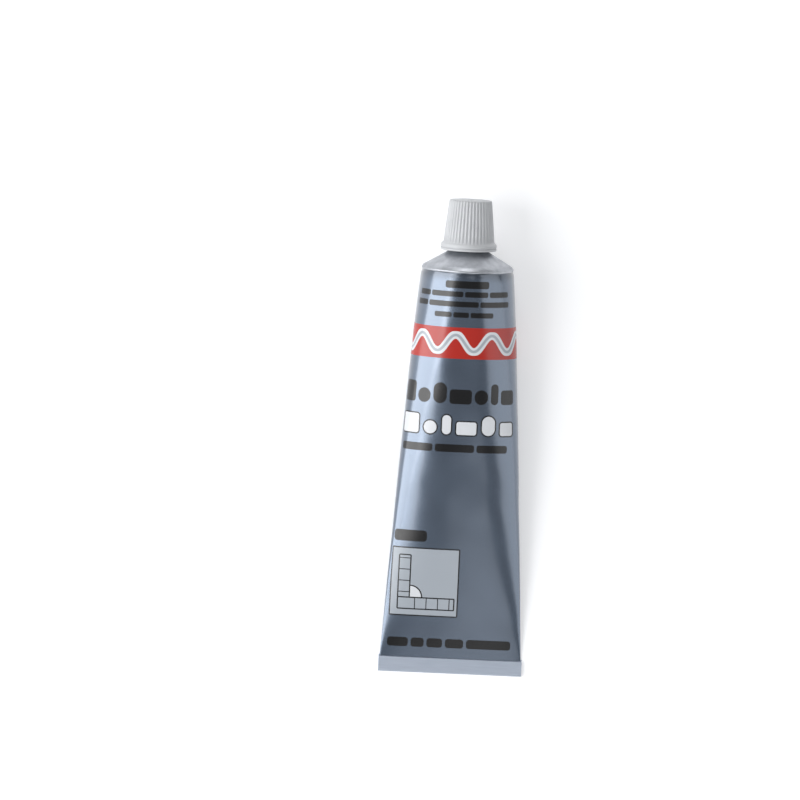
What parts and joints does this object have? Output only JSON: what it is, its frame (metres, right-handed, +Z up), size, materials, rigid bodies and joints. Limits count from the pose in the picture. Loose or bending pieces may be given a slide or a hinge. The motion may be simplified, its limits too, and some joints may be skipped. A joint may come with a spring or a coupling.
{
  "type": "silicone sealant tube",
  "caption": "Collapsible metal tube with a conical shoulder, a ribbed screw cap and a flat folded end, lying on its back.",
  "frame": {"origin": "the middle of the bounding box's base, on the surface that the tube lies on", "axes": "+Y along the tube towards its cap, +Z up from the surface it lies on to its printed front, X across it"},
  "size_m": [0.055, 0.182, 0.0348],
  "materials": {
    "printed_tube": "gloss slate-blue lacquer on thin aluminium, bare at the shoulder and neck",
    "disc_foam": "matt foamed polyethylene",
    "cap_plastic": "moulded white polypropylene with a soft gloss"
  },
  "bodies": {
    "tube": {"tube": "printed_tube"},
    "disc": {"sealing_disc": "disc_foam"},
    "cap": {"screw_cap": "cap_plastic"}
  },
  "joints": [
    {"name": "cap_lift", "type": "slide", "parent": "tube", "child": "disc", "axis": [0, 0.9937, 0.1122], "range_m": [0, 0.0125]},
    {"name": "cap_turn", "type": "hinge", "parent": "disc", "child": "cap", "pos_m": [0, 0.08625, 0.01979], "axis": [0, 0.9937, 0.1122], "range_deg": [0, 1800]}
  ],
  "couplings": [
    {"joint": "cap_lift", "follows": "cap_turn", "m_per_rad": 0.00039789}
  ]
}
